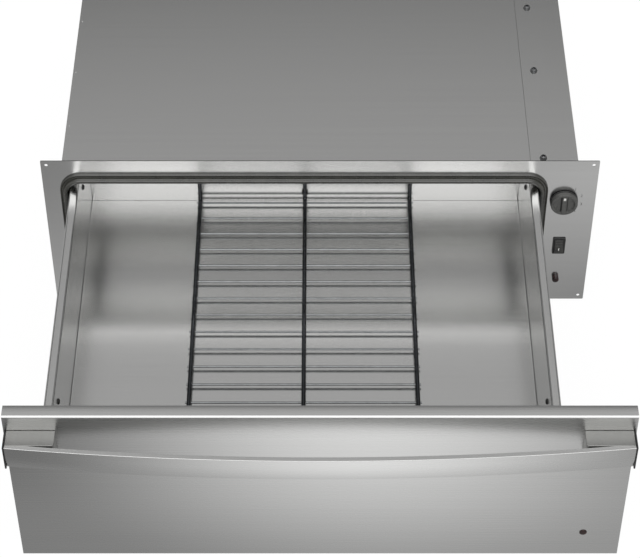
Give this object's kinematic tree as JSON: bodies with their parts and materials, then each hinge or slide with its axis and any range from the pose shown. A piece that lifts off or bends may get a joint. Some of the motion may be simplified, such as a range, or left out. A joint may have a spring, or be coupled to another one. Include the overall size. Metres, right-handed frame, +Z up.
{
  "type": "built in warming drawer",
  "caption": "Built in warming drawer: a sheet metal chassis with a trim frame and controls, and a bow handled drawer on ball slides with a lift out wire rack.",
  "frame": {"origin": "middle of the chassis's underside, where it stands on the cabinet's shelf", "axes": "+Y back into the cabinet, +X right as seen from the front, +Z up. Rest is the drawer open, as pictured."},
  "size_m": [0.7556, 1.0906, 0.264],
  "materials": {
    "panel_steel": "brushed stainless steel",
    "casing_steel": "satin stainless steel",
    "slide_zinc": "zinc plated steel",
    "rack_chrome": "bright chrome plated wire",
    "black_plastic": "moulded black plastic",
    "gasket_rubber": "moulded grey silicone rubber",
    "red_lens": "clear dark red plastic",
    "ceramic": "glazed ceramic",
    "heater_sheath": "oxidised heater sheath",
    "mineral_wool": "mineral wool batt",
    "harness_sleeve": "black sleeved wiring"
  },
  "bodies": {
    "chassis": {"base_tray": "casing_steel", "back_panel": "casing_steel", "top_cover": "casing_steel", "control_cover": "casing_steel", "partition": "casing_steel", "trim_frame": "panel_steel", "door_gasket": "gasket_rubber", "thermostat": "black_plastic", "rocker_bezel": "black_plastic", "panel_lamp": "red_lens", "heating_element": "heater_sheath", "heat_reflector": "slide_zinc", "thermal_cutout": "ceramic", "terminal_block": "ceramic", "cable_gland": "black_plastic", "wiring_harness": "harness_sleeve", "element_support_1": "slide_zinc", "element_support_2": "slide_zinc", "cover_screw_1": "slide_zinc", "cover_screw_2": "slide_zinc", "cover_screw_3": "slide_zinc", "cover_screw_4": "slide_zinc", "left_side": "casing_steel", "right_side": "casing_steel", "slide_bracket_left": "slide_zinc", "slide_bracket_right": "slide_zinc", "slide_outer_left": "slide_zinc", "slide_outer_right": "slide_zinc"},
    "drawer": {"drawer_pan": "casing_steel", "pan_rear_wall": "casing_steel", "front_skin": "panel_steel", "front_liner": "casing_steel", "front_insulation": "mineral_wool", "handle_bar": "panel_steel", "handle_post_left": "panel_steel", "handle_post_right": "panel_steel", "handle_cap_left": "black_plastic", "handle_cap_right": "black_plastic", "handle_screw_left": "slide_zinc", "handle_screw_right": "slide_zinc", "indicator_lens": "red_lens", "slide_inner_left": "slide_zinc", "slide_inner_right": "slide_zinc", "pan_screw_left_front": "black_plastic", "pan_screw_left_rear": "black_plastic", "pan_screw_right_front": "black_plastic", "pan_screw_right_rear": "black_plastic", "rack_bumper": "black_plastic"},
    "rack": {"wire_rack": "rack_chrome", "rack_end_front": "rack_chrome", "rack_end_rear": "rack_chrome"},
    "middle_left": {"slide_middle_left": "slide_zinc"},
    "middle_right": {"slide_middle_right": "slide_zinc"},
    "outer_cage_left": {"ball_cage_outer_left": "slide_zinc"},
    "outer_cage_right": {"ball_cage_outer_right": "slide_zinc"},
    "inner_cage_left": {"ball_cage_inner_left": "slide_zinc"},
    "inner_cage_right": {"ball_cage_inner_right": "slide_zinc"},
    "knob": {"control_knob": "black_plastic", "thermostat_shaft": "slide_zinc"},
    "rocker": {"power_rocker": "black_plastic"}
  },
  "joints": [
    {"name": "drawer_slide", "type": "slide", "parent": "chassis", "child": "drawer", "axis": [0, 1, 0], "range_m": [0, 0.434]},
    {"name": "middle_slide_left", "type": "slide", "parent": "chassis", "child": "middle_left", "axis": [0, 1, 0], "range_m": [0, 0.217]},
    {"name": "middle_slide_right", "type": "slide", "parent": "chassis", "child": "middle_right", "axis": [0, 1, 0], "range_m": [0, 0.217]},
    {"name": "outer_cage_slide_left", "type": "slide", "parent": "chassis", "child": "outer_cage_left", "axis": [0, 1, 0], "range_m": [0, 0.1085]},
    {"name": "outer_cage_slide_right", "type": "slide", "parent": "chassis", "child": "outer_cage_right", "axis": [0, 1, 0], "range_m": [0, 0.1085]},
    {"name": "inner_cage_slide_left", "type": "slide", "parent": "chassis", "child": "inner_cage_left", "axis": [0, 1, 0], "range_m": [0, 0.3255]},
    {"name": "inner_cage_slide_right", "type": "slide", "parent": "chassis", "child": "inner_cage_right", "axis": [0, 1, 0], "range_m": [0, 0.3255]},
    {"name": "rack_lift", "type": "slide", "parent": "drawer", "child": "rack", "axis": [0, 0, 1], "range_m": [0, 0.065]},
    {"name": "knob_turn", "type": "hinge", "parent": "chassis", "child": "knob", "pos_m": [0.331, -0.2955, 0.1765], "axis": [0, 1, 0], "range_deg": [0, 150]},
    {"name": "rocker_tilt", "type": "hinge", "parent": "chassis", "child": "rocker", "pos_m": [0.331, -0.286, 0.0925], "axis": [1, 0, 0], "range_deg": [0, 20]}
  ],
  "couplings": [
    {"joint": "middle_slide_left", "follows": "drawer_slide", "ratio": 0.5},
    {"joint": "middle_slide_right", "follows": "drawer_slide", "ratio": 0.5},
    {"joint": "outer_cage_slide_left", "follows": "drawer_slide", "ratio": 0.25},
    {"joint": "outer_cage_slide_right", "follows": "drawer_slide", "ratio": 0.25},
    {"joint": "inner_cage_slide_left", "follows": "drawer_slide", "ratio": 0.75},
    {"joint": "inner_cage_slide_right", "follows": "drawer_slide", "ratio": 0.75}
  ]
}
